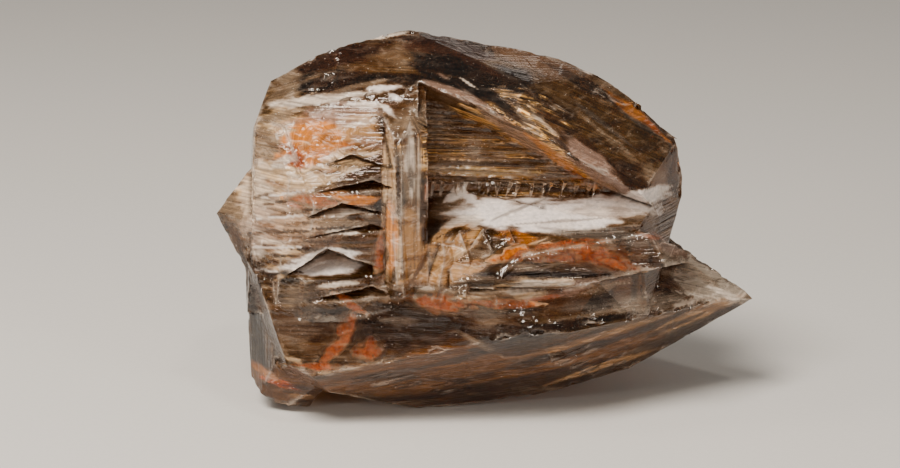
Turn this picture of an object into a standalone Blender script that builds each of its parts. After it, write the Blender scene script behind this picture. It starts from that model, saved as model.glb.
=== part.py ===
"""Elestial quartz: one smoky crystal grown as a pile of parallel layers, lying on its side.

+X is the pointed end, -Y the front and +Z up.  The origin is on the surface that the crystal
rests on, under the middle of its box.  The main crystals are blocks cut by flat faces and
joined into one solid.  Hollows and lens-shaped notches are cut into it, and growth layers,
blades and small points are added in loops, all with the same few face directions.
"""

import math
import random

import bmesh
import bpy
from mathutils import Matrix, Vector

MM = 0.001
NAME = "elestial_quartz"

# A face is (turn, lift, point on it in mm).  Turn is the compass bearing of its outward side,
# from the front (-Y) towards +X, and lift is that side's angle above the level, in degrees.

BASE = (0, -90, (0, 0, 0))  # the flat that the crystal rests on

DOME = (
    (-86, 3, (-46.8, -6, 52.2)),  # left end
    (-92, 20, (-44.4, -5, 62.2)),
    (-135, 50, (-36.9, -5, 69.5)),  # crown, left to right
    (-155, 54, (-23.9, -5, 74.5)),
    (174, 54, (-8.9, -3, 75.6)),
    (155, 61, (5.8, -2, 73.3)),
    (131, 52, (20.3, -1, 67.8)),
    (114, 45, (32.9, -2, 59.3)),
    (105, 13, (39.5, -3, 51.5)),  # right end
    (94, -1, (40.6, -2, 45.2)),
    (96, -24, (38.9, -3, 38.2)),
    (-40, 53, (-36.3, -13.5, 65.3)),  # front, left to right
    (-16, 56, (-24.1, -14, 69.1)),
    (18, 62, (-4, -13.3, 69.9)),
    (47, 70, (5.6, -5, 70.7)),
    (42, 42, (22, -15, 57)),
    (55, 44, (31.7, -4.3, 59)),
    (62, 4, (38.5, -6, 46.7)),
    (-8, 24, (-28.1, -20.9, 60.9)),
    (5, -2, (0, -24, 50)),
    (-45, 4, (-44, -16, 50)),
    (158, 34, (14, 20, 58)),  # back
    (178, 6, (0, 27, 45)),
    (-160, 38, (-22, 20, 60)),
    (-138, 8, (-36, 20, 45)),
    (128, 4, (28, 18, 42)),
    (0, -80, (0, 0, 18)),  # hidden underside
)
SPEAR = (
    (124, 48, (50.7, -3, 24.1)),  # top of the point
    (46, 47, (38.2, -12.7, 26.1)),
    (30, 20, (40, -15, 20)),
    (65, -57, (42.5, -5, 12.9)),  # underside, right to left
    (46, -69, (19.5, -10, 4)),
    (45, -81, (-2.2, -13, 0.7)),
    (-65, -72, (-23.3, -14, 2.8)),
    BASE,
    (-5, 15, (-19.7, -27, 23.5)),  # front, above and below the long edge
    (15, 34, (15.1, -25.7, 25)),
    (10, -43, (-9.7, -23.7, 10.4)),
    (32, -38, (22.4, -20.3, 15.5)),
    (2, 72, (0, -10, 34)),
    (-95, -4, (-48.1, -7, 14.2)),  # left end
    (-86, -6, (-47.8, -8, 28.5)),
    (-72, -14, (-45.2, -17, 22.7)),
    (-45, -50, (-36, -18, 6)),
    (180, -40, (0, 18, 6)),  # back
    (176, 6, (0, 25, 20)),
    (140, 4, (32, 16, 20)),
    (150, -44, (24, 12, 8)),
    (-150, -30, (-34, 14, 6)),
    (170, 60, (0, 20, 34)),
)
FLANK = (
    (-86, 3, (-46.8, -6, 52.2)),
    (-86, -10, (-47.6, -7, 30)),
    (-72, -14, (-45.2, -17, 22.7)),
    (-45, 6, (-42.1, -20.5, 51.7)),
    (-10, 3, (-32, -25.7, 44)),
    (8, 2, (-24, -26, 40)),
    (-8, 24, (-28.1, -20.9, 60.9)),
    (84, 0, (-19, -20, 40)),
    (-92, 20, (-44.4, -5, 62.2)),
    (-135, 50, (-36.9, -5, 69.5)),
    (-155, 54, (-23.9, -5, 74.5)),
    (18, 62, (-4, -13.3, 69.9)),
    (-40, 53, (-36.3, -13.5, 65.3)),
    (-16, 56, (-24.1, -14, 69.1)),
    (180, 0, (-30, 4, 40)),
    (0, -70, (-30, 0, 12)),
)
KNOB = (
    (-116, 36, (-50.8, -8, 43.9)),
    (-91, -29, (-51.8, -8, 34.9)),
    (-42, 22, (-54.3, -8, 39.8)),
    (-44, -12, (-54.3, -8, 39.8)),
    (-150, 5, (-50, 0, 40)),
    (90, 0, (-38, -8, 40)),
    (-60, 60, (-46, -10, 49)),
)
FOOT = (
    (-92, -4, (-47.9, -9, 14.2)),
    (-85, -37, (-46.3, -10, 4.3)),
    (-64, -74, (-40.7, -11, 0.9)),
    (95, -27, (-34.1, -11, 3)),
    BASE,
    (-20, -20, (-40, -18.5, 5)),
    (30, -50, (-36, -16, 2)),
    (180, 5, (-40, 0, 4)),
    (60, 55, (-49, -8, 30)),
    (-60, 5, (-45, -16, 8)),
)
WING = (
    (146, 63, (33.8, -14, 35.8)),
    (85, -32, (41.8, -10, 31.1)),
    (38, -69, (36.2, -12, 29.1)),
    (4, 66, (14, -22, 39.4)),
    (16, 8, (16, -27, 34)),
    (-30, 50, (0, -25, 36)),
    (62, 24, (41, -13, 32)),
    (0, -60, (16, -24, 28)),
    (180, 0, (16, -4, 32)),
    (-80, 0, (-8, -20, 30)),
)
COLUMN = (
    (-66, 0, (-18.8, -24.5, 46)),
    (-22, 3, (-17, -27.5, 46)),
    (32, 2, (-13.5, -26, 46)),
    (93, 0, (-11.2, -22, 46)),
    (-20, 50, (-17, -21, 64)),
    (40, 42, (-12, -21, 63)),
    (180, 0, (-15, -12, 46)),
    (0, -80, (-15, -20, 28)),
)
COLUMN_FOOT = (
    (-60, 0, (-19.5, -25.5, 36)),
    (-12, 4, (-17.5, -28.5, 36)),
    (58, 4, (-15, -27, 36)),
    (94, 0, (-11.4, -22, 36)),
    (30, 60, (-16.5, -26, 45)),
    (180, 0, (-15, -12, 36)),
    (0, -80, (-15, -20, 26)),
)
FACETS = (  # leaning plates between the column and the wing: turn, lift, foot, height, width
    (-50, 15, (-10.5, -25.5, 30), 10, 5),
    (-30, 12, (-6, -26, 30.5), 10, 6),
    (-15, 15, (-1, -26.5, 32), 9, 6),
    (-8, 20, (4.5, -27, 33), 8, 6),
)
HOLLOW = (
    (177, 2, (1.6, -10, 51.3)),  # striated back wall
    (176, -66, (6.2, -15, 42.4)),  # bright floor
    (134.6, 53.3, (8.9, -14.7, 55.6)),  # roof
    (-90, 0, (-13, -15, 50)),
    (0, 0, (0, -60, 50)),
    (90, 0, (60, -15, 50)),
)
BACK_HOLLOW = (
    (-3, 2, (-4, 15, 45)),
    (-4, -66, (-4, 25, 33)),
    (-52, 46, (-12, 22, 50)),
    (60, 52, (6, 22, 52)),
    (57, 0, (16, 22, 45)),
    (180, 0, (0, 60, 45)),
)

# The few directions that all the small growth shares.
PRISM_TURN = -3  # bearing of one upright face, the other five follow in steps of 60
RHOMB_LIFT = 38  # lift of the faces that close an upright point
TREAD = (-4, 66)  # the layers that show as treads in the notches

# Notches in the front: left end, right end, peak x, lip height, opening at the peak (mm).
NOTCHES = (
    (-36, -16, -26, 52.4, 3.8),
    (-35, -15, -22, 48.0, 3.0),
    (-35, -16, -28, 43.3, 3.0),
    (-33, -15, -22, 39.6, 2.4),
    (-41, -14, -31, 30.3, 6.6),
    (-35, -15, -22, 26.4, 2.8),
)
BACK_NOTCHES = (
    (-12, 12, 2, 24.0, 4.0),
    (-24, 2, -8, 17.0, 3.0),
    (4, 26, 12, 13.0, 3.4),
)
FRONT_Y, BACK_Y = -26.3, -26.0  # where the lips of the notches are, before they are turned

STRIAE = 12  # growth steps on the hollow's back wall
TEETH = 16  # blades along the foot of that wall
BACK_POINTS = 15  # small upright crystals along the back

# Streaks that stand up from a face: face, first x, z, run in x, rise per mm, count, step (x, z).
STREAKS = (
    (SPEAR[10], -26, 9.0, 34, 0.27, 5, (4.5, -1.1)),
    (SPEAR[11], 12, 13.0, 26, 0.30, 5, (2.5, -1.6)),
    (SPEAR[8], -36, 25.6, 24, 0.03, 2, (1.5, -2.3)),
    (SPEAR[9], 1, 26.8, 17, -0.06, 4, (3.0, -1.4)),
    (DOME[15], 8, 64.0, 20, -0.62, 4, (4.6, 0.3)),
    (DOME[12], -33, 66.5, 18, 0.20, 3, (2.5, 2.6)),
)

# Broken edges: points along each, number of chips, size of a chip (mm).
RIMS = (
    (((-36.4, -18, 64), (-17.6, -19, 67), (-10.7, -19, 68.3), (-1.9, -22, 64.9)), 9, 1.3),
    (((-1.9, -22, 64.9), (11.8, -24, 58.5), (31, -19, 45.7)), 12, 1.5),
    (((-36.9, -5, 69.5), (-16.2, -5, 76.5), (5.8, -2, 73.3), (32.9, -2, 59.3)), 12, 1.1),
    (((-34.2, -29, 11.4), (9.1, -30.2, 20.8), (33.3, -18.5, 20.9), (48.1, -9.7, 21.4)), 12, 1.1),
    (((17.3, -13.1, 4.2), (30, -6.8, 6.1), (50, -4.6, 17.2)), 8, 1.2),
    (((38, -2.1, 33.1), (52, -3, 23)), 5, 1.0),
    (((-46.6, -18.2, 35), (-45.5, -15.6, 59)), 7, 1.1),
    (((-48.2, -17, 37.5), (-46, -18, 22), (-40.2, -21, 8.9)), 7, 1.3),
    (((-20, 25, 58), (0, 26, 56), (22, 22, 50)), 8, 1.8),
    (((39, -4, 56), (40.5, -3, 45), (38, -4, 36)), 5, 1.2),
)


def outward(turn, lift):
    """The unit normal of a face that points to this bearing and this angle above the level."""
    bearing, angle = math.radians(turn), math.radians(lift)
    level = math.cos(angle)
    return Vector((math.sin(bearing) * level, -math.cos(bearing) * level, math.sin(angle)))


def on_face(face, x, z):
    """The point of a face (mm) at this x and z."""
    turn, lift, point = face
    normal = outward(turn, lift)
    y = point[1] - (normal.x * (x - point[0]) + normal.z * (z - point[2])) / normal.y
    return Vector((x, y, z))


def link(name, mesh):
    """Turns a bmesh into an object in the working collection."""
    data = bpy.data.meshes.new(name)
    mesh.to_mesh(data)
    mesh.free()
    block = bpy.data.objects.new(name, data)
    bpy.data.collections["blocks"].objects.link(block)
    return block


def cut_planes(name, planes, reach=150):
    """A block cut from a cube by planes, each an outward normal and a point in mm."""
    middle = sum((Vector(point) for _, point in planes), Vector()) / len(planes)
    mesh = bmesh.new()
    bmesh.ops.create_cube(mesh, size=reach * MM, matrix=Matrix.Translation(middle * MM))
    for normal, point in planes:
        bmesh.ops.bisect_plane(
            mesh,
            geom=mesh.verts[:] + mesh.edges[:] + mesh.faces[:],
            plane_co=Vector(point) * MM,
            plane_no=normal,
            clear_outer=True,
        )
        rim = [edge for edge in mesh.edges if edge.is_boundary]
        bmesh.ops.holes_fill(mesh, edges=rim, sides=0)
    bmesh.ops.recalc_face_normals(mesh, faces=mesh.faces[:])
    return link(name, mesh)


def cut_block(name, faces, inset=0.0):
    """A block cut by faces given as turn, lift and point, each moved inwards by the inset."""
    planes = []
    for turn, lift, point in faces:
        normal = outward(turn, lift)
        planes.append((normal, Vector(point) - normal * inset))
    return cut_planes(name, planes)


def notch(name, left, right, peak, lip, opening, front=FRONT_Y, spin=0):
    """A wedge of air, open to the front, with a tread for a floor and pointed ends.

    Its two roofs rise from the ends to the peak and fall gently towards the back until they
    meet the tread.  Spin turns the whole notch about the upright axis.
    """
    fall = Vector((0, 1, -0.27))
    top = Vector((peak, front, lip + opening))
    planes = [(-outward(*TREAD), (left, front, lip)), (outward(0, 0), (left, front - 8, lip))]
    for end in (left, right):
        normal = (Vector((end, front, lip)) - top).cross(fall).normalized()
        planes.append((normal if normal.z > 0 else -normal, top))
    wedge = cut_planes(name, planes, reach=90)
    wedge.data.transform(Matrix.Rotation(math.radians(spin), 4, "Z"))
    return wedge


def upright_point(name, x, y, foot, top, width):
    """A small six-sided crystal with its axis upright and a six-faced tip at the top."""
    planes = [(outward(0, -90), (x, y, foot))]
    for side in range(6):
        turn = PRISM_TURN + 60 * side
        reach = width / 2 * (1 if side % 3 else 1.25)
        planes.append((outward(turn, 0), Vector((x, y, foot)) + outward(turn, 0) * reach))
        tip = top + (0.8 if side % 2 else 0)
        planes.append((outward(turn, RHOMB_LIFT), (x, y, tip)))
    return cut_planes(name, planes, reach=150)


def plate(name, turn, lift, foot, height, width):
    """A thin leaning plate with a pointed top, standing on foot."""
    face, base = outward(turn, lift), Vector(foot)
    aside = outward(turn + 90, 0)
    up = face.cross(aside).normalized()
    up = up if up.z > 0 else -up
    tip = base + up * height
    planes = [(face, base), (-face, base - face * 4), (-up, base - up * 3)]
    for sign in (-1, 1):
        planes.append((aside * sign, base + aside * sign * width / 2))
        planes.append(((aside * sign * 0.9 + up * 0.5).normalized(), tip))
    return cut_planes(name, planes, reach=60)


def bar(name, start, end, thick, taper=0.3):
    """A long four-sided crystal from start to end (mm), thick across its start."""
    start, end = Vector(start) * MM, Vector(end) * MM
    along = end - start
    turned = along.to_track_quat("Z", "Y").to_matrix().to_4x4()
    mesh = bmesh.new()
    bmesh.ops.create_cone(
        mesh,
        cap_ends=True,
        segments=4,
        radius1=thick / 2 * MM,
        radius2=thick / 2 * taper * MM,
        depth=along.length,
        matrix=Matrix.Translation((start + end) / 2) @ turned,
    )
    return link(name, mesh)


def striae():
    """Level growth steps up the hollow's back wall, shorter towards its pointed top."""
    bars = []
    for step in range(STRIAE):
        z = 46 + 1.55 * step
        right = 24 - 1.72 * (z - 46)
        start, end = on_face(HOLLOW[0], -13.8, z + 0.6), on_face(HOLLOW[0], right, z - 0.6)
        bars.append(bar(f"stria_{step}", start, end, thick=1.1, taper=0.8))
    return bars


def teeth(chance):
    """Short blades that hang from the foot of the back wall over the bright floor."""
    blades = []
    for count in range(TEETH):
        x = -10 + 2.2 * count + chance.uniform(-0.5, 0.5)
        start = on_face(HOLLOW[0], x, 46.6) - Vector((0, 0.3, 0))
        reach = Vector((-chance.uniform(0.2, 1.2), -1.3, -chance.uniform(2.4, 4.6)))
        blades.append(bar(f"tooth_{count}", start, start + reach, 1.7, 0.1))
    return blades


def streaks(chance):
    """Long low ridges on the large faces, all along one direction on each face."""
    bars = []
    for row, (face, x, z, run, rise, count, (step_x, step_z)) in enumerate(STREAKS):
        for number in range(count):
            first = x + step_x * number + chance.uniform(-2, 2)
            height = z + step_z * number + chance.uniform(-0.3, 0.3)
            length = run * chance.uniform(0.55, 1.0)
            thick = chance.uniform(1.3, 2.2)
            inward = outward(face[0], face[1]) * thick * 0.28
            start = on_face(face, first, height) - inward
            end = on_face(face, first + length, height + rise * length) - inward
            bars.append(bar(f"streak_{row}_{number}", start, end, thick, 0.15))
    return bars


def back_points(chance):
    """Upright small crystals along the back, in steps like the layers of the front."""
    points = []
    for count in range(BACK_POINTS):
        share = count / (BACK_POINTS - 1)
        x = -33 + 64 * share + chance.uniform(-1.5, 1.5)
        y = 24.5 - 7.0 * abs(2 * share - 1) ** 3 + chance.uniform(-1.5, 1.0)
        top = 34 + 22 * math.sin(math.pi * (0.15 + 0.7 * share)) * chance.uniform(0.45, 1.0)
        foot = chance.uniform(10, 16)
        points.append(upright_point(f"point_{count}", x, y, foot, top, chance.uniform(8, 13)))
    return points


def chips(chance):
    """Scooped bites along the broken edges, each a stretched icosahedron that lies along its edge."""
    bites = []
    for row, (points, count, size) in enumerate(RIMS):
        for number in range(count):
            place = (number + chance.uniform(0.2, 0.8)) / count * (len(points) - 1)
            first = int(place)
            start, end = Vector(points[first]), Vector(points[first + 1])
            spot = start.lerp(end, place - first)
            along = (end - start).to_track_quat("X", "Z").to_matrix().to_4x4()
            roll = Matrix.Rotation(chance.uniform(0, math.tau), 4, "X")
            lean = Matrix.Rotation(chance.uniform(-0.35, 0.35), 4, "Z")
            stretch = [size * chance.uniform(*span) * MM for span in ((1.8, 3.6), (0.8, 1.8), (0.8, 1.8))]
            mesh = bmesh.new()
            bmesh.ops.create_icosphere(mesh, subdivisions=1, radius=0.5)
            bmesh.ops.scale(mesh, verts=mesh.verts[:], vec=stretch)
            turned = Matrix.Translation(spot * MM) @ along @ lean @ roll
            bmesh.ops.transform(mesh, verts=mesh.verts[:], matrix=turned)
            bites.append(link(f"chip_{row}_{number}", mesh))
    return bites


def weld(data, distance=0.0001):
    """Merges points that are closer than the distance (mm) and drops faces without area."""
    mesh = bmesh.new()
    mesh.from_mesh(data)
    bmesh.ops.remove_doubles(mesh, verts=mesh.verts[:], dist=distance * MM)
    bmesh.ops.dissolve_degenerate(mesh, edges=mesh.edges[:], dist=distance * MM)
    mesh.to_mesh(data)
    mesh.free()


def combine(body, others, operation):
    """Applies one Boolean of all the other objects to the body, and removes them."""
    tools = bpy.data.collections.new(operation)
    for other in others:
        tools.objects.link(other)
    modifier = body.modifiers.new(operation, "BOOLEAN")
    modifier.operation = operation
    modifier.operand_type = "COLLECTION"
    modifier.collection = tools
    graph = bpy.context.evaluated_depsgraph_get()
    joined = bpy.data.meshes.new_from_object(body.evaluated_get(graph))
    body.modifiers.clear()
    body.data = joined
    for other in others:
        bpy.data.objects.remove(other)
    bpy.data.collections.remove(tools)
    weld(joined)


def keep_largest(data):
    """Removes every shell but the largest: crumbs cut loose by the chips, and bites that
    never reached the surface."""
    mesh = bmesh.new()
    mesh.from_mesh(data)
    left, shells = set(mesh.verts), []
    while left:
        shell, edge = set(), {min(left, key=lambda vert: vert.index)}
        while edge:
            shell |= edge
            edge = {e.other_vert(v) for v in edge for e in v.link_edges} - shell
        left -= shell
        shells.append(shell)
    shells.sort(key=len)
    loose = [vert for shell in shells[:-1] for vert in shell]
    bmesh.ops.delete(mesh, geom=loose, context="VERTS")
    mesh.to_mesh(data)
    mesh.free()


def smoky_quartz():
    """Clear brown crystal."""
    material = bpy.data.materials.new("smoky_quartz")
    material.use_nodes = True
    shader = material.node_tree.nodes["Principled BSDF"]
    shader.inputs["Base Color"].default_value = (0.30, 0.17, 0.09, 1.0)
    shader.inputs["Roughness"].default_value = 0.12
    shader.inputs["Metallic"].default_value = 0.0
    shader.inputs["IOR"].default_value = 1.544
    shader.inputs["Transmission Weight"].default_value = 1.0
    return material


def to_origin(body):
    """Moves the mesh so that it stands on z = 0 with the middle of its box over the origin."""
    corners = [Vector(corner) for corner in body.bound_box]
    low = Vector([min(corner[axis] for corner in corners) for axis in range(3)])
    high = Vector([max(corner[axis] for corner in corners) for axis in range(3)])
    middle = (low + high) / 2
    body.data.transform(Matrix.Translation((-middle.x, -middle.y, -low.z)))


def start_scene():
    """Empties the scene and makes the crystal's collection and the blocks' one."""
    for item in list(bpy.data.objects):
        bpy.data.objects.remove(item)
    for name in (NAME, "blocks"):
        bpy.context.scene.collection.children.link(bpy.data.collections.new(name))


def main():
    chance = random.Random(5)
    start_scene()
    quartz = cut_block(NAME, DOME)
    blocks = {"spear": (SPEAR, 0), "flank": (FLANK, 0.3), "knob": (KNOB, 0), "foot": (FOOT, 0)}
    grown = [cut_block(name, *sizes) for name, sizes in blocks.items()] + back_points(chance)
    combine(quartz, grown, "UNION")

    cuts = [cut_block("hollow", HOLLOW), cut_block("back_hollow", BACK_HOLLOW)]
    cuts += [notch(f"notch_{i}", *sizes) for i, sizes in enumerate(NOTCHES)]
    for i, sizes in enumerate(BACK_NOTCHES):
        cuts.append(notch(f"back_notch_{i}", *sizes, front=BACK_Y, spin=180))
    combine(quartz, cuts, "DIFFERENCE")

    blocks = {"wing": WING, "column": COLUMN, "column_foot": COLUMN_FOOT}
    added = [cut_block(name, faces) for name, faces in blocks.items()]
    added += [plate(f"plate_{i}", *sizes) for i, sizes in enumerate(FACETS)]
    combine(quartz, added + striae() + teeth(chance) + streaks(chance), "UNION")
    combine(quartz, chips(chance), "DIFFERENCE")
    keep_largest(quartz.data)

    to_origin(quartz)
    quartz.data.materials.clear()
    quartz.data.materials.append(smoky_quartz())
    bpy.data.collections["blocks"].objects.unlink(quartz)
    bpy.data.collections[NAME].objects.link(quartz)


main()
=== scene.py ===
import math
from types import SimpleNamespace

import bmesh
import bpy
import numpy as np
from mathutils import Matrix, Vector
from mathutils.geometry import delaunay_2d_cdt


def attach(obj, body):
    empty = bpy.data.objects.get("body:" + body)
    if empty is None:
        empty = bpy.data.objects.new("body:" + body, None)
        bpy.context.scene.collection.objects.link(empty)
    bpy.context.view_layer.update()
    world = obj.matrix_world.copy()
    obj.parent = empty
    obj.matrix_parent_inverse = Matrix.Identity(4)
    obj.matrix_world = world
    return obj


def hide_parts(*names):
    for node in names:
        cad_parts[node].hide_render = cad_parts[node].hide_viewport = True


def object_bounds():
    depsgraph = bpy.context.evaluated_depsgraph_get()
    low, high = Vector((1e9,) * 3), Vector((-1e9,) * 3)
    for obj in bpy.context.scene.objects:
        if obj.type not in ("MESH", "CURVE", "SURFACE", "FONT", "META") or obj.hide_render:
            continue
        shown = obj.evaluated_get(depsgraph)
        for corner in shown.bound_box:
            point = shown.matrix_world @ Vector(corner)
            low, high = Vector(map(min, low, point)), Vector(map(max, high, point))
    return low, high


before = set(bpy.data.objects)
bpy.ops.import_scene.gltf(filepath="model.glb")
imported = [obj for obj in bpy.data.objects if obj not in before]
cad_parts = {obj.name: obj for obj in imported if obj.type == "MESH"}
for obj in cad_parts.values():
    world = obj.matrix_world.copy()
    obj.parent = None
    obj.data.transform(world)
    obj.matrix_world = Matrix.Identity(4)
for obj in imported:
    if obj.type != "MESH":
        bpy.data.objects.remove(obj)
cad_box = [list(corner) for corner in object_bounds()]

MM = 0.001
VIEW_MIDDLE = (-7.4, -0.3, 33.0)  # the point that the camera looks at (mm)
VIEW_LIFT = 15  # the camera's angle above the level (degrees)
VIEW_DISTANCE = 620.0  # from the camera to that point (mm)
LIT_MIDDLE = (-7, 0, 35)  # the point that the lights face (mm)

# The front is drawn on a plane that the camera looks at squarely.
TILT = math.radians(VIEW_LIFT)  # how far it leans back from upright
MIDDLE_HEIGHT = VIEW_MIDDLE[2]  # height of its middle (mm)

# The crystal's net.
WELD, FLAT = 0.0005, 0.3  # corners this close are one (mm), and faces this parallel (degrees)
FINE, COARSE = 0.5, 1.3  # spacing of its points, in front and elsewhere (mm)
FINE_DEPTH = 12  # faces whose middle lies further back than this are coarse (mm)
CHIP_LENGTH = 3.0  # a groove shorter than this is a small chip, and gets no painted shade (mm)

# The crystal's finish.
PATCH_FADE = (9, 4)  # patches are gone behind the first depth, and whole before the second (mm)
PATCH_SEED, PANE_SEED = 20, 300  # random seeds of the first patch, and of the first cleared place
LEDGE_PITCH, LEDGE_DEPTH = 1.9, 0.14  # height of the flank's low ledges, how far they step (mm)
LINE_REACH = 9  # a face counts as one of SLANTED within this many degrees
# A ridge or groove starts to count where the solid turns by the first angle, and counts in full
# from the second (degrees).
RIDGE, GROOVE = (12, 50), (22, 60)
# A patch turns the growth lines its own way where it is this many times longer than high, and
# slants at least this much (degrees).
STREAK_SHAPE, STREAK_SLOPE = 2.5, 18

# The iron-stained films.
FILM_RINGS, FILM_SPOKES = 12, 96  # their net
FILM_HALF = 0.08  # half their thickness in the middle (mm)
FILM_SEED = 600  # random seed of the first one's outline

# What a face looks like where it has each tint: its colour and the colour streaked into it, how
# clear it is from 0 to 1, and how strongly the growth lines show.
TINTS = {
    # The first two tints also serve as painted reflections and highlights: on the hollow's floor,
    # its treads, the crest and the crown's rim.
    "white": ("#EDE2DC", "#DCCDC2", 0.10, 0.05),
    "frost": ("#EAD8C6", "#A2866C", 0.30, 0.55),
    "mist": ("#D8C4AE", "#9E8A74", 0.62, 0.4),
    "cream": ("#E4BE92", "#966C48", 0.45, 0.75),
    "straw": ("#F4CC8E", "#DCA864", 0.15, 0.3),
    "stone": ("#C4A484", "#8C6C4E", 0.70, 0.4),
    "tan": ("#D69E64", "#94643A", 0.50, 0.45),
    "rose": ("#C8A08A", "#9A7058", 0.62, 0.4),
    "peach": ("#E68830", "#B25C1E", 0.40, 0.6),
    "amber": ("#CC7620", "#8A4A0F", 0.60, 0.5),
    "gold": ("#E0A050", "#7C4E1E", 0.50, 1.2),
    "rust": ("#BC521C", "#702C0E", 0.40, 0.6),
    "wall": ("#E2AC62", "#7A5026", 0.42, 5.0),
    "honey": ("#B06A1E", "#6C3E12", 0.80, 0.7),
    "bark": ("#50321A", "#86603A", 0.80, 1.8),
    "brown": ("#8A5230", "#5C3018", 0.94, 0.15),
    "olive": ("#96692E", "#64431F", 0.88, 0.4),
    "umber": ("#86592F", "#54361A", 0.95, 0.3),
    "grey": ("#B5A494", "#8A7868", 0.88, 0.3),
    "smoke": ("#54402F", "#846C58", 0.96, 0.1),
    "dark": ("#46301E", "#5E432A", 0.95, 0.2),
    "pane": ("#F0C8A0", "#E0B088", 0.98, 0.05),
}

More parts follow.
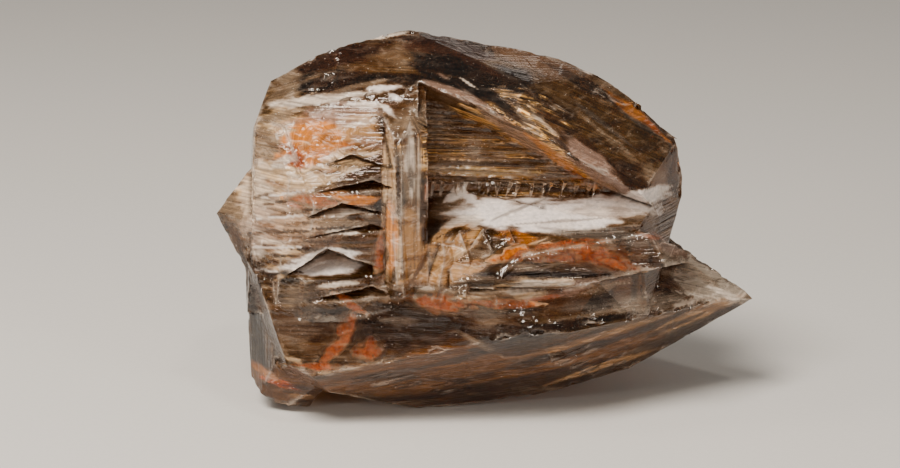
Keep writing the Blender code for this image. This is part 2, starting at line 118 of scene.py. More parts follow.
# Where each tint lies on the front: tint, middle across and up the front, half length, half
# height (mm), slope (degrees), strength.  Later patches cover earlier ones, and a patch's number
# seeds its torn outline.
PATCHES = (
    # the left flank: its pale ground, banded from side to side
    ("cream", -40.4, 9.1, 12.4, 18.5, 0, 1),
    ("frost", -46.1, 6, 4.1, 12.4, 0, 0.5),
    ("rose", -38.3, 1.9, 12.4, 6.2, 0, 0.45),
    ("umber", -38.3, 4.1, 6.2, 0.4, 6, 0.5),
    ("umber", -36.2, 2.1, 4.5, 0.4, 4, 0.5),
    ("frost", -38.3, 7, 7, 0.6, 12, 0.6),
    ("frost", -40.4, -1.6, 8.2, 0.5, 2, 0.6),
    ("umber", -44.1, 7.8, 2.9, 0.4, 14, 0.5),
    ("stone", -46.1, 17.3, 3.7, 10.3, 75, 0.8),
    ("stone", -38.3, 29.3, 7.2, 1.9, 30, 0.6),
    # its chamber, where orange layers curl
    ("peach", -34.2, 17.7, 8.7, 6.2, 0, 1),
    ("cream", -32.5, 17.3, 4.9, 3.3, 10, 0.4),
    ("peach", -33, 16.9, 3.7, 2.5, 20, 0.9),
    ("amber", -31.1, 18.7, 2.5, 1.6, 20, 0.8),
    ("white", -29.7, 15.7, 4.5, 0.5, 24, 0.6),
    ("rust", -38.1, 14.8, 2.7, 1.6, -50, 0.9),
    ("rose", -34.6, 22.7, 8.2, 0.8, 8, 0.5),
    ("frost", -40.6, 14, 2.3, 1.4, 20, 0.9),
    ("frost", -38.3, 11.5, 1.9, 0.6, -20, 0.8),
    ("cream", -27.6, 14, 8.7, 2.9, 18, 0.8),
    ("umber", -29, 9.5, 8.2, 0.8, 12, 0.6),
    ("tan", -24.7, 20.4, 5.4, 3.7, 0, 0.9),
    ("frost", -24.7, 21.8, 4.9, 0.6, 8, 0.6),
    ("rose", -23.5, 18.1, 4.1, 1, -14, 0.6),
    ("stone", -41.4, 23.5, 7, 1, 14, 0.8),
    # its ledges: treads lightened as painted highlights, and gaps between them darkened as painted
    # shade
    ("peach", -31.1, 6.6, 9.1, 1.6, 0, 0.9),
    ("rust", -37.1, 6.2, 2.9, 1, -5, 0.8),
    ("smoke", -20.8, 5.6, 2.5, 1.2, 30, 0.9),
    ("smoke", -31.1, 4.7, 8.2, 0.3, 0, 0.8),
    ("frost", -29.5, 4.1, 6.6, 0.8, 2, 0.9),
    ("stone", -29.7, 2.1, 5.4, 1, 0, 0.8),
    ("smoke", -29, 1, 7.4, 0.3, 0, 0.9),
    ("frost", -29, 0.2, 4.5, 0.6, 0, 1),
    ("umber", -31.5, -1.2, 9.3, 1.2, 0, 0.7),
    ("smoke", -31.3, -3.1, 9.5, 0.4, 0, 0.9),
    # a painted reflection: the white flake of a tread that mirrors the lights
    ("white", -31.3, -6, 9.5, 2.5, 4, 1),
    ("smoke", -38.9, -9.3, 2.9, 0.7, 0, 0.9),
    ("smoke", -28, -9.1, 7, 0.4, 8, 0.6),
    ("frost", -29, -10.1, 6.2, 0.7, 6, 0.9),
    ("umber", -42, -5.8, 5.4, 0.4, 0, 0.6),
    ("umber", -42.4, -9.9, 5.8, 0.5, -4, 0.6),
    ("frost", -44.5, -3.7, 4.9, 0.6, 0, 0.6),
    ("umber", -43.5, 0.4, 4.1, 0.4, 8, 0.5),
    # its thin light and dark layers
    ("white", -40, 7.8, 6.2, 0.3, 8, 0.8),
    ("umber", -39.1, 6.4, 6.2, 0.3, 6, 0.8),
    ("white", -40.8, 3.3, 5.8, 0.3, 4, 0.7),
    ("smoke", -38.3, 0.4, 5.8, 0.3, 3, 0.8),
    ("white", -41.2, -2.7, 6.2, 0.3, 0, 0.8),
    ("smoke", -42, -4.3, 5.4, 0.3, -2, 0.9),
    ("white", -43.3, -7.4, 4.9, 0.3, -4, 0.8),
    ("smoke", -40.4, -7.8, 5.4, 0.3, 2, 0.9),
    # the stripe down the left side
    ("umber", -47, -17.3, 19.8, 4.3, -79, 1),
    ("bark", -45.3, -15.7, 12.4, 1.9, -80, 0.9),
    ("bark", -49, -20.8, 9.1, 1, -84, 0.8),
    ("dark", -46.1, -19.8, 10.3, 1, -80, 0.6),
    ("stone", -50.3, -13.6, 12.8, 0.6, -83, 0.7),
    ("stone", -52.5, 5.4, 3.3, 4.1, 60, 0.8),
    ("stone", -40.4, -22.9, 5.4, 0.6, -70, 0.4),
    # the dark crown, and its crest with painted highlights
    ("brown", -28, 35.4, 11.3, 2.3, 14, 0.9),
    ("smoke", -30.1, 29.9, 11.5, 3.1, 7, 1),
    ("stone", -40, 30.1, 3.7, 3.3, 40, 0.8),
    ("stone", -16.7, 35.4, 4.9, 3.3, 0, 0.5),
    ("grey", -13.6, 39.1, 6.2, 1, 4, 0.6),
    ("brown", -6.4, 37.5, 10.3, 3.3, -5, 0.9),
    ("smoke", -3.3, 30.9, 13.6, 3.5, -22, 1),
    ("smoke", 6, 29.3, 7.4, 4.9, -30, 0.9),
    ("brown", -1.6, 33.4, 6.2, 1, -24, 0.6),
    ("umber", -9.5, 31.7, 4.5, 0.6, -14, 0.7),
    ("grey", 2.9, 32.1, 3.3, 0.5, -30, 0.6),
    ("grey", 8.2, 28.4, 2.5, 0.5, -38, 0.6),
    ("grey", -30.9, 30.9, 4.1, 0.5, 4, 0.6),
    ("grey", -34.6, 29, 2.9, 0.5, 10, 0.5),
    ("smoke", -16.1, 30.5, 6.2, 1.6, 0, 0.9),
    # a painted highlight along the crown's top left edge
    ("frost", -20.8, 39.8, 6.2, 0.8, 9, 0.9),
    ("stone", -11.5, 41.4, 8.2, 0.6, 0, 0.7),
    ("smoke", 2.9, 38.3, 12.4, 1.6, -12, 0.8),
    ("grey", 14.8, 35, 8.2, 1.2, -24, 0.8),
    ("pane", 7, 35.8, 19.8, 2.7, -21, 0.9),
    # painted highlights on the crest
    ("white", 9.9, 38.5, 2.9, 0.5, -20, 0.6),
    ("white", 19.4, 33.4, 2.5, 0.5, -30, 0.6),
    # the pale band under the crown: milky, with white patches that are painted highlights
    ("frost", -33.8, 26.6, 14.4, 1.2, 6, 0.9),
    ("rose", -28, 23.9, 8.2, 2.5, 0, 0.8),
    ("frost", -24.9, 25.1, 4.1, 0.8, -8, 0.6),
    # painted highlights where the band catches the light
    ("white", -21, 28.8, 3.7, 0.7, 4, 0.95),
    ("white", -18.1, 26.8, 2.3, 0.8, -32, 0.9),
    ("white", -19.8, 24.3, 3.1, 0.8, -38, 0.9),
    ("frost", -22.7, 25.5, 3.7, 0.6, -10, 0.8),
    ("cream", -24.3, 23.1, 4.5, 0.6, 8, 0.7),
    ("stone", -24.9, 29.3, 6.2, 0.8, 12, 0.7),
    # the striated wall of the hollow
    ("wall", 2.9, 16.3, 19.8, 11.5, 0, 1),
    ("dark", -3.3, 9.9, 10.3, 1.6, 0, 0.6),
    ("stone", -9.1, 22.7, 4.5, 2.9, -30, 0.5),
    ("gold", 7, 18.1, 20.6, 1.6, -27, 0.9),
    ("gold", 15.2, 11.1, 9.1, 2.1, -12, 0.7),
    ("gold", -1.2, 21.8, 8.2, 0.3, -2, 0.8),
    ("gold", 2.1, 19.8, 10.3, 0.3, -1, 0.8),
    ("gold", -3.3, 17.9, 8.2, 0.3, -2, 0.7),
    ("cream", 6.2, 16.9, 9.5, 0.3, -3, 0.8),
    ("gold", -1.2, 15.2, 10.3, 0.3, -1, 0.8),
    ("gold", 12.8, 14, 8.2, 0.4, -5, 0.9),
    ("dark", -2.1, 20.6, 9.5, 0.3, -1, 0.8),
    ("dark", 0.8, 17.1, 11.5, 0.4, -2, 0.8),
    ("dark", 2.9, 14, 12.8, 0.5, -3, 0.9),
    ("cream", 7, 11.7, 9.1, 0.4, -4, 0.8),
    ("gold", 15.2, 10.3, 9.5, 0.3, -3, 0.8),
    ("gold", 0, 12.4, 18.5, 1.4, -3, 1),
    ("straw", -0.8, 12.6, 16.5, 1, -3, 1),
    ("dark", 0.8, 9.7, 14.4, 1, -3, 0.8),
    # the large faces at the right
    ("olive", 23.9, 21.4, 17.3, 6.6, -36, 1),
    ("umber", 15.7, 19.8, 10.3, 1.6, -38, 0.8),
    ("umber", 23.5, 14.2, 9.3, 1.6, -42, 0.8),
    ("stone", 18.3, 23.9, 10.3, 0.6, -36, 0.3),
    ("stone", 26.6, 17.3, 9.3, 0.8, -40, 0.5),
    ("grey", 23.5, 21.8, 10.3, 0.5, -37, 0.5),
    ("smoke", 21, 29.3, 12.4, 1.4, -30, 0.9),
    ("grey", 31.7, 22.5, 7, 1.6, -38, 0.7),
    ("amber", 29.9, 24.3, 7.8, 1.4, -38, 0.95),
    ("rust", 33.4, 21.8, 3.3, 0.8, -40, 0.6),
    ("umber", 29.1, 11.5, 5.4, 2.5, -35, 0.7),
    ("stone", 34.2, 11.1, 2.5, 4.1, 60, 0.6),
    ("umber", 38.7, 12.8, 2.1, 7.4, 0, 1),
    ("bark", 36.7, 2.9, 4.1, 5.4, 0, 0.7),
    ("stone", 27.6, 6.4, 9.1, 1.4, 16, 0.8),
    # the ridge between that wall and those faces
    ("rose", -7.4, 28, 7, 1.2, -22, 0.8),
    ("rose", 3.7, 21.4, 13.6, 1.2, -38, 0.8),
    ("rose", 21, 13.6, 12.8, 2.1, -39, 0.95),
    ("peach", 15.2, 14, 12.4, 0.8, -37, 0.7),
    ("grey", 5.4, 23.5, 6.2, 1.2, -38, 0.8),
    ("smoke", 2.5, 25.5, 5.4, 1.2, -40, 0.8),
    ("frost", -3.7, 29.7, 2.1, 0.3, -34, 0.8),
    ("frost", 11.1, 21.8, 4.1, 0.6, -38, 0.5),
    ("smoke", 14.4, 17.3, 5.4, 0.8, -40, 0.7),
    ("stone", -15.2, 23.1, 4.5, 3.3, 40, 0.7),
    # the hollow's floor: white patches that are a painted reflection of the lights, which make it
    # bright
    ("white", 13.6, 4.3, 21.4, 4.1, 2, 1),
    ("white", 29.3, 7, 9.1, 1.9, 12, 0.9),
    ("white", -5.8, 8.2, 3.1, 1.4, 35, 0.9),
    ("white", -3.3, 7, 2.5, 1, -20, 0.8),
    ("frost", -5.3, 0.4, 5.4, 3.7, 35, 0.8),
    ("grey", 5.4, 4.5, 8.2, 0.3, 22, 0.5),
    ("grey", 15.2, 2.5, 12.4, 0.3, 4, 0.5),
    # the small faces in front of that floor
    ("dark", -11.9, -0.4, 4.5, 2.1, 45, 0.9),
    ("tan", -7.8, -2.5, 8.2, 3.3, 36, 1),
    ("tan", -7.4, -7.4, 12.8, 2.3, 12, 1),
    ("cream", -4.9, -3.3, 7.4, 0.8, 38, 0.8),
    ("cream", -11.5, -5.8, 7, 0.6, 38, 0.7),
    ("umber", -6.4, 0.4, 2.5, 0.8, 30, 0.8),
    ("gold", -3.3, -0.8, 2.5, 2.1, 40, 0.7),
    ("amber", 5.4, -0.8, 5.4, 1.6, -14, 0.95),
    ("cream", 4.9, -3.7, 8.2, 0.6, 22, 0.8),
    ("stone", 25.6, 3.9, 10.3, 1.6, -3, 0.4),
    # the upright column
    ("cream", -19.6, 7, 17.3, 1.4, 90, 0.95),
    ("stone", -15.4, 13.2, 10.3, 2.9, 90, 0.9),
    ("frost", -13.6, 9.1, 12.4, 0.5, 90, 0.6),
    ("grey", -16.7, 0.8, 10.3, 0.6, 90, 0.7),
    ("frost", -15, 14.2, 6.2, 1.2, 90, 0.8),
    ("dark", -17.5, 9.1, 8.2, 0.5, 90, 0.9),
    ("smoke", -15, 11.1, 2.5, 0.8, 90, 0.5),
    ("tan", -15.2, -2.3, 8.2, 2.9, 90, 0.9),
    ("cream", -17.7, -3.3, 7.4, 0.6, 90, 0.8),
    ("peach", -19.4, -1.2, 8.2, 1.9, 90, 0.8),
    ("brown", -10.7, 8.7, 4.9, 0.7, 78, 0.9),
    ("umber", -12.8, -5.8, 3.3, 0.6, 60, 0.7),
    ("rust", -11.9, 9.1, 3.3, 0.6, 78, 0.6),
    # the pale ledge and the wing
    ("stone", -3.3, -10.7, 26.8, 0.8, -1, 0.8),
    ("rose", 12.2, -11.1, 18.5, 1.6, 6, 0.9),
    ("frost", 2.9, -11.9, 6.2, 0.6, 8, 0.7),
    ("frost", 21.4, -10.3, 8.2, 0.6, 4, 0.7),
    ("grey", 27.6, -1.2, 15.7, 1.9, -8, 0.9),
    ("umber", 16.5, -4.3, 13.2, 2.3, 2, 0.9),
    ("amber", 15.2, -3.7, 12.4, 1.4, 3, 0.9),
    ("rust", 22.7, -4.5, 7, 1.2, -14, 0.7),
    ("dark", 15.2, -8, 17.3, 0.8, 0, 1),
    ("dark", 0.8, -9.9, 6.2, 0.8, -5, 0.7),
    ("rose", 37.5, -3.3, 5.8, 1.6, -18, 0.7),
    ("smoke", 34.2, -5.8, 4.9, 1, -10, 0.8),
    ("frost", 31.7, -7, 5.4, 0.4, -6, 0.6),
    ("rust", 32.8, -0.4, 3.3, 1, -10, 0.6),
    ("stone", 42, -4.5, 2.1, 1.6, -30, 0.6),
    # the long front: dark, with grey bands
    ("smoke", -21.8, -18.1, 17.3, 5.4, 2, 1),
    ("olive", 15.2, -18.7, 16.5, 3.3, 7, 0.9),
    ("smoke", 2.9, -19.8, 12.4, 2.5, 6, 0.8),
    ("grey", -1.2, -15.2, 10.3, 1.6, -2, 0.6),
    ("mist", -34.2, -16.9, 5.4, 0.8, 4, 0.5),
    ("mist", -17.7, -17.3, 4.5, 1, -6, 0.35),
    ("grey", -25.9, -16.1, 6.2, 1.2, 10, 0.6),
    ("grey", 7, -19, 4.9, 0.6, 10, 0.6),
    ("grey", -38.3, -17.7, 7, 4.1, 0, 0.5),
    ("rust", 11.1, -12.8, 4.9, 0.6, 8, 0.8),
    ("rose", -32.1, -27.2, 8.2, 0.8, 5, 0.7),
    ("cream", -25.5, -26.4, 10.3, 0.8, 10, 0.9),
    ("cream", -38.3, -25.1, 3.3, 0.4, -16, 0.7),
    ("stone", -32.1, -13.6, 16.5, 0.5, 2, 0.6),
    # the foot
    ("honey", -40.4, -30.9, 9.5, 3.7, -8, 1),
    ("umber", -41.6, -31.7, 7, 2.5, -8, 0.6),
    ("tan", -37.1, -33, 3.7, 0.8, -6, 0.6),
    ("rust", -41.6, -30.1, 5.4, 1, -14, 1),
    ("amber", -44.9, -28, 4.1, 1, -30, 0.9),
    ("frost", -38.3, -34.6, 2.9, 0.4, -4, 0.6),
    # the cut lower front
    ("honey", -9.5, -28, 25.5, 6.2, 9, 1),
    ("honey", 19.4, -23.5, 22.7, 3.7, 15, 1),
    ("umber", 15.2, -24.3, 18.5, 1, 15, 0.8),
    ("umber", -1.2, -30.9, 14.4, 0.8, 10, 0.7),
    ("tan", 21.4, -20.8, 22.7, 0.8, 16, 0.6),
    ("umber", -3.3, -24.3, 12.4, 0.8, 14, 0.7),
    ("brown", 23.5, -21.8, 14.4, 0.4, 17, 0.8),
    ("brown", 11.1, -28.4, 16.5, 0.4, 12, 0.8),
    ("brown", -11.5, -33, 18.5, 0.6, 6, 0.8),
    ("tan", 23.5, -27.2, 16.5, 0.8, 17, 0.8),
    ("frost", -7.4, -35, 18.5, 0.3, 4, 0.5),
    # the long front's right end, and the pale ledge over it
    ("stone", -1.6, -21.8, 5.8, 0.8, -30, 0.6),
    ("smoke", 15.2, -18.1, 10.3, 1.4, 8, 0.8),
    ("grey", 24.3, -13.6, 10.3, 1.9, 8, 0.9),
    ("stone", 23.5, -15.7, 10.3, 0.6, 8, 0.6),
    ("dark", 22.7, -17.3, 9.5, 1, 8, 0.8),
    ("cream", 5.8, -11.1, 12.4, 2.1, 9, 1),
    ("frost", 7.8, -10.7, 9.9, 1.2, 10, 1),
    ("stone", 23.1, -10.7, 5.8, 1.2, 18, 0.9),
    # the point
    ("mist", 44.9, -9.9, 10.7, 4.1, -27, 1),
    ("stone", 42, -7.8, 8.2, 1.2, -30, 0.6),
    ("frost", 44.1, -12.8, 8.2, 0.4, -10, 0.7),
    ("mist", 31.7, -13.6, 9.1, 2.5, 4, 0.6),
    ("frost", 42, -13.6, 7.4, 0.6, 14, 0.6),
    ("tan", 42, -16.9, 10.3, 1.6, 22, 0.9),
    ("umber", 37.9, -18.7, 8.2, 0.6, 22, 0.7),
    ("frost", 51.3, -12.8, 2.9, 0.8, 20, 0.6),
    ("frost", 48.6, -12.2, 4.9, 0.8, -24, 0.8),
)

# Flat faces by name: where each points (turn, lift) and a point on it (mm).
FACES = {
    "long front": ((-5, 15), (-20.3, -27.3, 23.5)),
    "wing front": ((16, 8), (15.4, -27.3, 34.0)),
    "flank left": ((-10, 3), (-32.6, -26.0, 44.0)),
    "flank right": ((8, 2), (-24.6, -26.3, 40.0)),
}

# Thin iron-stained films inside, just under a face: tint, face, middle across and up the front,
# half length, half height (mm), slope (degrees), depth (mm).
FILMS = (
    ("rust", "long front", -9.5, -13.8, 5.4, 1.9, -8, 1.6),
    ("rust", "long front", 2.9, -13.8, 8.2, 1, -3, 2),
    ("rust", "long front", -28, -19, 4.1, 1.6, 72, 2.2),
    ("rust", "long front", -30.7, -23.1, 4.9, 1.4, 45, 1.8),
    ("rust", "long front", -23.7, -23.3, 2.9, 2.3, -10, 2),
    ("rust", "long front", -33.8, -26.4, 5.4, 0.8, -4, 1.4),
    ("rust", "long front", -27.6, -13.8, 3.7, 0.8, -30, 1.4),
    ("amber", "wing front", 5.4, -4.3, 4.5, 1.4, 12, 1.4),
    ("rust", "wing front", 15.2, -2.5, 8.2, 1, 4, 2),
    ("amber", "wing front", 22.7, -4.9, 7, 2.1, -16, 1.6),
    ("rust", "wing front", 24.7, -5.8, 4.1, 0.8, -22, 1),
    ("rust", "flank left", -34.6, 6.4, 5.4, 1, -4, 1),
    ("rust", "flank right", -21.2, -4.5, 4.5, 1.2, 86, 1.5),
    ("amber", "wing front", 16.9, -4.5, 11.1, 1.6, 1, 2.8),
)

# The chamber whose layers curl around its middle: across, up the front, half length, half height.
CURL = (-33.6, 16.9, 8.6, 6.6)

# Faces whose growth lines aren't level: where each points (turn, lift), and its lines' slope.
SLANTED = (((10, -43), 13), ((32, -38), 17), ((42, 42), -39), ((47, 70), -39), ((55, 44), -39))

# The soft lights: name, bearing, angle above the level (degrees), distance, width, height (mm)
# and power (W).
LIGHTS = (
    ("above", -36, 55, 750, 300, 300, 8.5),
    ("behind", 168, 34, 700, 110, 60, 0.04),
    ("left", -85, 45, 600, 120, 200, 0.4),
    ("low left", -50, 12, 650, 120, 80, 0.8),
    ("low right", 38, 14, 650, 120, 80, 0.7),
    ("glint", 25, 62, 640, 60, 60, 0.5),
    ("sheen", -10, 13, 650, 56, 18, 0.007),
)


def srgb(code):
    """Turns an sRGB hex colour into the linear values that a shader reads."""
    parts = [int(code[i : i + 2], 16) / 255 for i in (1, 3, 5)]
    return tuple(p / 12.92 if p <= 0.04045 else ((p + 0.055) / 1.055) ** 2.4 for p in parts) + (1.0,)


def outward(turn, lift):
    """The unit normal of a face that points to this bearing and this angle above the level."""
    bearing, angle = math.radians(turn), math.radians(lift)
    level = math.cos(angle)
    return np.array([math.sin(bearing) * level, -math.cos(bearing) * level, math.sin(angle)])


VIEW = outward(0, VIEW_LIFT)  # from the crystal towards the camera


# ---------------------------------------------------------------- patterns on points


def smooth(low, high, value):
    """0 below low, 1 above high, and an even S-curve between them."""
    share = np.clip((value - low) / (high - low), 0.0, 1.0)
    return share * share * (3.0 - 2.0 * share)


def cloud(points, size, seed):
    """Soft random values from -1 to 1: a lattice of random numbers, size mm apart, read at the
    points with S-curves between its corners."""
    side = 64  # the lattice repeats after this many steps
    table = np.random.default_rng(seed).uniform(-1, 1, (side, side, side))
    place = points / size
    cell = np.floor(place).astype(int)
    share = place - cell
    share = share * share * (3.0 - 2.0 * share)
    total = np.zeros(len(points))
    for step in np.ndindex(2, 2, 2):
        weight = np.where(step, share, 1.0 - share).prod(1)
        total += weight * table[tuple(((cell + step) % side).T)]
    return total


def mosaic(points, size, tilt, seed):
    """Heights of a broken surface: around jittered centres, size mm apart, each cell is a small
    plane that leans its own way, by up to tilt mm for each mm."""
    side = 32  # the centres repeat after this many cells
    random = np.random.default_rng(seed)
    jitter = random.uniform(0, 1, (side, side, side, 3))
    lean = random.uniform(-tilt, tilt, (side, side, side, 3))
    place = points / size
    cell = np.floor(place).astype(int)
    nearest = np.full(len(points), np.inf)
    height = np.zeros(len(points))
    for step in np.ndindex(3, 3, 3):
        at = cell + step - 1
        index = tuple((at % side).T)
        gap = place - at - jitter[index]
        away = (gap**2).sum(1)
        closer = away < nearest
        nearest[closer] = away[closer]
        height[closer] = ((gap * lean[index]).sum(1) * size)[closer]
    return height


def front_view(points):
    """Points in mm laid on the front's drawing plane: across, up the front, and depth."""
    up = (points[:, 2] - MIDDLE_HEIGHT) * math.cos(TILT) + points[:, 1] * math.sin(TILT)
    return np.stack([points[:, 0], up, points[:, 1]], axis=1)


def seen_in_front(points, normals):
    """1 on the faces that look to the front, 0 on the back and underneath."""
    return smooth(0.0, 0.15, normals @ VIEW) * smooth(*PATCH_FADE, points[:, 1])


def turned(across, up, slope):
    """Coordinates along a line that slopes up by this many degrees, and square to it."""
    turn = math.radians(slope)
    along = across * math.cos(turn) + up * math.sin(turn)
    return along, up * math.cos(turn) - across * math.sin(turn)


def lens(along, over, power):
    """How far out a place is in a lens whose outline is at 1: pointed for power 1, round for 2."""
    return (np.abs(along) ** power + np.abs(over) ** power) ** (1 / power)


def patch(flat, across, up, long, high, slope, seed):
    """1 inside a slanting lens on the front, 0 outside.

    The lens's outline is bent by soft noise of its own size, and its edge is torn into streaks
    that run along it.
    """
    along, over = turned(flat[:, 0] - across, flat[:, 1] - up, slope)
    reach = lens(along / long, over / high, 1.4)
    near = reach < 1.8  # further out the noise adds next to nothing
    bent = np.stack([along / long, over / high, flat[:, 2] * 0.1], axis=1)[near]
    torn = np.stack([along * 0.22, over, flat[:, 2] * 0.3], axis=1)[near]
    shift = 0.28 * cloud(bent, 0.7, seed) + 0.24 * cloud(torn, 0.9, seed + 500)
    shift += 0.18 * cloud(torn, 0.4, seed + 900)
    weight = np.zeros(len(flat))
    weight[near] = 1.0 - smooth(0.72, 1.12, reach[near] + shift)
    return weight


# ---------------------------------------------------------------- the crystal's net


def read(items, key, kind=int, width=1):
    """One array with this property of every item."""
    values = np.empty(len(items) * width, kind)
    items.foreach_get(key, values)
    return values if width == 1 else values.reshape(-1, width)


def solid_faces():
    """The crystal's solid in mm, its loose triangles merged back into flat many-sided faces."""
    mesh = bmesh.new()
    mesh.from_mesh(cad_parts["elestial_quartz"].data)
    bmesh.ops.remove_doubles(mesh, verts=mesh.verts[:], dist=WELD * MM)
    bmesh.ops.dissolve_limit(
        mesh, angle_limit=math.radians(FLAT), verts=mesh.verts[:], edges=mesh.edges[:]
    )
    data = bpy.data.meshes.new("flat_faces")
    mesh.to_mesh(data)
    mesh.free()
    solid = SimpleNamespace(
        corners=read(data.vertices, "co", float, 3) / MM,
        ends=read(data.edges, "vertices", int, 2),
        starts=read(data.polygons, "loop_start"),
        counts=read(data.polygons, "loop_total"),
        loop_corner=read(data.loops, "vertex_index"),
        loop_edge=read(data.loops, "edge_index"),
        normals=read(data.polygons, "normal", float, 3),
        middles=read(data.polygons, "center", float, 3) / MM,
    )
    bpy.data.meshes.remove(data)
    one, two = solid.corners[solid.ends].transpose(1, 0, 2)
    solid.length = np.linalg.norm(one - two, axis=1)
    solid.face_of = np.repeat(np.arange(len(solid.counts)), solid.counts)
    return solid


def parted_edges(solid, pitch):
    """Points on the solid's edges: its corners, and then points that part each edge evenly.

    Gives the number of parts of each edge, the number of its first point between its ends, the
    edge of each such point, and all the points.
    """
    corners, ends = solid.corners, solid.ends
    edge_pitch = np.full(len(ends), COARSE)
    np.minimum.at(edge_pitch, solid.loop_edge, pitch[solid.face_of])
    parts = np.maximum(np.ceil(solid.length / edge_pitch).astype(int), 1)
    first = len(corners) + np.concatenate([[0], np.cumsum(parts - 1)[:-1]])
    edge_of = np.repeat(np.arange(len(ends)), parts - 1)
    share = (np.arange(len(edge_of)) + len(corners) - first[edge_of] + 1) / parts[edge_of]
    between = corners[ends[edge_of, 0]] * (1 - share[:, None])
    between += corners[ends[edge_of, 1]] * share[:, None]
    return parts, first, edge_of, np.concatenate([corners, between])


def edge_angles(solid):
    """How far the solid turns at each corner and at each edge, in degrees: positive on a ridge,
    negative in a groove and 0 in a small chip.  A corner takes the angle of its sharpest edge."""
    order = np.argsort(solid.loop_edge, kind="stable")
    one, two = solid.face_of[order[0::2]], solid.face_of[order[1::2]]
    normal, other = solid.normals[one], solid.normals[two]
    angle = np.degrees(np.arccos(np.einsum("ij,ij->i", normal, other).clip(-1, 1)))
    to_other = solid.middles[two] - solid.corners[solid.ends[:, 0]]
    falls = np.einsum("ij,ij->i", normal, to_other) < 0
    angle = np.where(falls, angle, -angle)
    angle[(angle < 0) & (solid.length < CHIP_LENGTH)] = 0.0
    sharpest = np.zeros(len(solid.corners))
    for end in solid.ends.T:
        stronger = np.abs(angle) > np.abs(sharpest[end])
        sharpest[end[stronger]] = angle[stronger]
    return sharpest, angle


def inside(points, corners, margin):
    """Which points lie in the polygon, further than margin from its sides."""
    x, y = points[:, :1], points[:, 1:]
    (ax, ay), (bx, by) = corners.T, np.roll(corners, -1, axis=0).T
    with np.errstate(divide="ignore", invalid="ignore"):
        crossed = ((ay > y) != (by > y)) & (x < (bx - ax) * (y - ay) / (by - ay) + ax)
    dx, dy = bx - ax, by - ay
    share = (((x - ax) * dx + (y - ay) * dy) / np.maximum(dx**2 + dy**2, 1e-12)).clip(0, 1)
    gap = np.hypot(ax + share * dx - x, ay + share * dy - y).min(1)
    return (crossed.sum(1) % 2 == 1) & (gap > margin)


def lattice(outline, step):
    """The corners of equilateral triangles with sides of one step, inside a flat outline."""
    low, high = outline.min(0), outline.max(0)
    rows = np.arange(low[1] + step / 2, high[1], step * 0.866)  # a triangle's height apart
    x, y = np.meshgrid(np.arange(low[0] + step / 2, high[0], step), rows)
    x += (np.arange(len(rows)) % 2)[:, None] * step / 2
    points = np.stack([x.ravel(), y.ravel()], axis=1)
    return points[inside(points, outline, step * 0.55)]


def joined(rim, inner):
    """Triangles over the points of a flat outline and the points inside it."""
    laid = np.concatenate([rim, inner]).tolist()
    only_inside, tolerance = 1, 1e-9
    outline = [list(range(len(rim)))]
    triangles = delaunay_2d_cdt(laid, [], outline, only_inside, tolerance)[2]
    if len(triangles) != len(rim) + 2 * len(inner) - 2:  # a sliver: joined as a fan
        triangles = [(0, i, i + 1) for i in range(1, len(rim) - 1)]
    return np.array(triangles)


def crystal_net():
    """The crystal's surface as an even net: points in mm, triangles, and each point's edge.

    The sides of each flat face are parted evenly and its inside is filled with a lattice of
    equilateral triangles; a Delaunay triangulation joins them.  A point's edge is the angle that
    edge_angles gives, and 0 inside a face.
    """
    solid = solid_faces()
    in_sight = solid.normals @ VIEW > -0.02  # seen by the camera, if only edge-on
    pitch = np.where(in_sight & (solid.middles[:, 1] < FINE_DEPTH), FINE, COARSE)
    parts, first, edge_of, rim_points = parted_edges(solid, pitch)
    sharpest, angle = edge_angles(solid)
    points, triangles, edge = [rim_points], [], [sharpest, angle[edge_of]]
    total = len(rim_points)
    for face, (start, count) in enumerate(zip(solid.starts, solid.counts)):
        around = solid.loop_corner[start : start + count]
        rim = []
        for corner, side in zip(around, solid.loop_edge[start : start + count]):
            run = first[side] + np.arange(parts[side] - 1)
            rim += [corner, *(run if solid.ends[side, 0] == corner else run[::-1])]
        normal, middle = solid.normals[face], solid.middles[face]
        across = np.cross(normal, (0.3, 0.5, 0.8))
        across /= np.linalg.norm(across)
        basis = np.stack([across, np.cross(normal, across)], axis=1)
        inner = lattice((solid.corners[around] - middle) @ basis, pitch[face])
        numbers = np.concatenate([rim, total + np.arange(len(inner))]).astype(int)
        triangles.append(numbers[joined((rim_points[rim] - middle) @ basis, inner)])
        points.append(middle + inner @ basis.T)
        edge.append(np.zeros(len(inner)))
        total += len(inner)
    return np.concatenate(points), np.concatenate(triangles), np.concatenate(edge)


def spread(values, faces):
    """Values handed on to the neighbouring points at half strength."""
    wider = values.copy()
    sides = np.stack([faces, np.roll(faces, -1, axis=1)], axis=2).reshape(-1, 2)
    for one, two in (sides.T, sides[:, ::-1].T):
        np.maximum.at(wider, one, 0.5 * values[two])
    return wider


def face_normals(points, faces):
    """Unit normals and areas of the triangles."""
    a, b, c = points[faces].transpose(1, 0, 2)
    cross = np.cross(b - a, c - a)
    size = np.linalg.norm(cross, axis=1, keepdims=True)
    return cross / np.maximum(size, 1e-12), size[:, 0] / 2


def point_normals(points, faces):
    """Unit normals at the points: the area-weighted mean of their triangles' normals."""
    normal, area = face_normals(points, faces)
    total = np.zeros_like(points)
    for corner in range(3):
        np.add.at(total, faces[:, corner], normal * area[:, None])
    return total / np.maximum(np.linalg.norm(total, axis=1, keepdims=True), 1e-12)


# ---------------------------------------------------------------- the crystal's finish


def lay(values, wanted, share):
    """Moves the tint, clearness and line strength towards the wanted ones by the share."""
    for now, then in zip(values, wanted):
        now += (then - now) * (share[:, None] if now.ndim == 2 else share)


